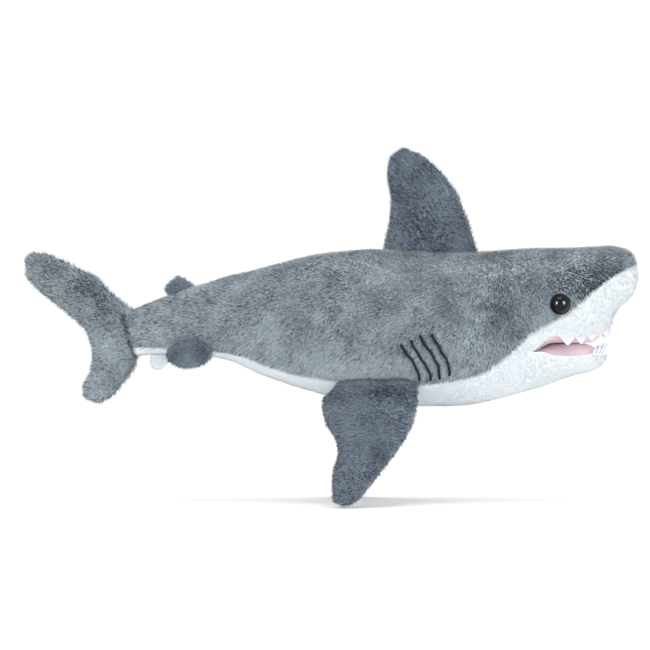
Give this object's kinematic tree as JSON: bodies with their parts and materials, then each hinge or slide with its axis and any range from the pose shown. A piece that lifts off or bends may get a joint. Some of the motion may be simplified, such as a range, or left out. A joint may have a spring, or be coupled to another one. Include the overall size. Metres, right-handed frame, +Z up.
{
  "type": "plush shark",
  "caption": "Stuffed plush shark with grey back, white belly, open felt-toothed mouth that closes, and bending tail and fins.",
  "frame": {"origin": "below the middle of the shark's whole length, at the height of the hanging pectoral fin tips", "axes": "+X towards the nose, +Y towards the shark's left side, +Z up"},
  "size_m": [0.508, 0.2068, 0.2951],
  "materials": {
    "grey_plush": "matte",
    "slate_plush": "matte",
    "white_plush": "matte",
    "pink_lining": "matte",
    "white_felt": "matte",
    "fibre_fill": "matte",
    "dark_thread": "satin",
    "eye_plastic": "polished",
    "washer_plastic": "matte"
  },
  "bodies": {
    "body": {"right_back_panel": "grey_plush", "left_back_panel": "grey_plush", "right_cheek_panel": "white_plush", "left_cheek_panel": "white_plush", "belly_panel": "white_plush", "body_stuffing": "fibre_fill", "head_stuffing": "fibre_fill", "mouth_roof": "pink_lining", "upper_teeth": "white_felt", "right_eye": "eye_plastic", "left_eye": "eye_plastic", "right_eye_washer": "washer_plastic", "left_eye_washer": "washer_plastic", "right_gill_stitch_1": "dark_thread", "right_gill_stitch_2": "dark_thread", "right_gill_stitch_3": "dark_thread", "right_gill_stitch_4": "dark_thread", "left_gill_stitch_1": "dark_thread", "left_gill_stitch_2": "dark_thread", "left_gill_stitch_3": "dark_thread", "left_gill_stitch_4": "dark_thread"},
    "lower_jaw": {"jaw_panel": "white_plush", "mouth_floor": "pink_lining", "jaw_stuffing": "fibre_fill", "lower_teeth": "white_felt"},
    "tail_stem": {"right_tail_panel": "grey_plush", "left_tail_panel": "grey_plush", "tail_belly_panel": "white_plush", "tail_stuffing": "fibre_fill"},
    "tail_fin": {"tail_fin_right_panel": "slate_plush", "tail_fin_left_panel": "slate_plush", "tail_fin_stuffing": "fibre_fill"},
    "dorsal_fin": {"dorsal_fin_right_panel": "slate_plush", "dorsal_fin_left_panel": "slate_plush", "dorsal_fin_stuffing": "fibre_fill"},
    "second_dorsal_fin": {"second_dorsal_fin_right_panel": "slate_plush", "second_dorsal_fin_left_panel": "slate_plush"},
    "anal_fin": {"anal_fin_right_panel": "white_plush", "anal_fin_left_panel": "white_plush"},
    "right_pectoral_fin": {"right_pectoral_fin_lower_panel": "slate_plush", "right_pectoral_fin_upper_panel": "slate_plush", "right_pectoral_fin_stuffing": "fibre_fill"},
    "left_pectoral_fin": {"left_pectoral_fin_lower_panel": "slate_plush", "left_pectoral_fin_upper_panel": "slate_plush", "left_pectoral_fin_stuffing": "fibre_fill"},
    "right_pelvic_fin": {"right_pelvic_fin_lower_panel": "slate_plush", "right_pelvic_fin_upper_panel": "slate_plush"},
    "left_pelvic_fin": {"left_pelvic_fin_lower_panel": "slate_plush", "left_pelvic_fin_upper_panel": "slate_plush"}
  },
  "joints": [
    {"name": "jaw_hinge", "type": "hinge", "parent": "body", "child": "lower_jaw", "pos_m": [0.172, 0, 0.127], "axis": [0, 1, 0], "range_deg": [-10, 8], "stiffness_Nm_per_rad": 0.25},
    {"name": "tail_bend", "type": "hinge", "parent": "body", "child": "tail_stem", "pos_m": [-0.0854, 0, 0.15], "axis": [0, 0, 1], "range_deg": [-20, 20], "stiffness_Nm_per_rad": 0.8},
    {"name": "tail_fin_swing", "type": "hinge", "parent": "tail_stem", "child": "tail_fin", "pos_m": [-0.1736, 0, 0.142], "axis": [0, 0, 1], "range_deg": [-30, 30], "stiffness_Nm_per_rad": 0.2},
    {"name": "dorsal_fin_flop", "type": "hinge", "parent": "body", "child": "dorsal_fin", "pos_m": [0.0835, 0, 0.2185], "axis": [1, 0, 0], "range_deg": [-30, 30], "stiffness_Nm_per_rad": 0.15},
    {"name": "second_dorsal_fin_flop", "type": "hinge", "parent": "tail_stem", "child": "second_dorsal_fin", "pos_m": [-0.136, 0, 0.1768], "axis": [0.9397, 0, 0.342], "range_deg": [-30, 30], "stiffness_Nm_per_rad": 0.02},
    {"name": "anal_fin_flop", "type": "hinge", "parent": "tail_stem", "child": "anal_fin", "pos_m": [-0.1435, 0, 0.1182], "axis": [1, 0, 0], "range_deg": [-30, 30], "stiffness_Nm_per_rad": 0.02},
    {"name": "right_pectoral_flap", "type": "hinge", "parent": "body", "child": "right_pectoral_fin", "pos_m": [0.006, -0.0375, 0.09057], "axis": [0.9903, -0.1392, 0], "range_deg": [-35, 15], "stiffness_Nm_per_rad": 0.12},
    {"name": "left_pectoral_flap", "type": "hinge", "parent": "body", "child": "left_pectoral_fin", "pos_m": [0.006, 0.0375, 0.09057], "axis": [0.9903, 0.1392, 0], "range_deg": [-15, 35], "stiffness_Nm_per_rad": 0.12},
    {"name": "right_pelvic_flap", "type": "hinge", "parent": "tail_stem", "child": "right_pelvic_fin", "pos_m": [-0.1175, -0.026, 0.131], "axis": [1, 0, 0], "range_deg": [-40, 15], "stiffness_Nm_per_rad": 0.03},
    {"name": "left_pelvic_flap", "type": "hinge", "parent": "tail_stem", "child": "left_pelvic_fin", "pos_m": [-0.1175, 0.026, 0.131], "axis": [1, 0, 0], "range_deg": [-15, 40], "stiffness_Nm_per_rad": 0.03}
  ]
}
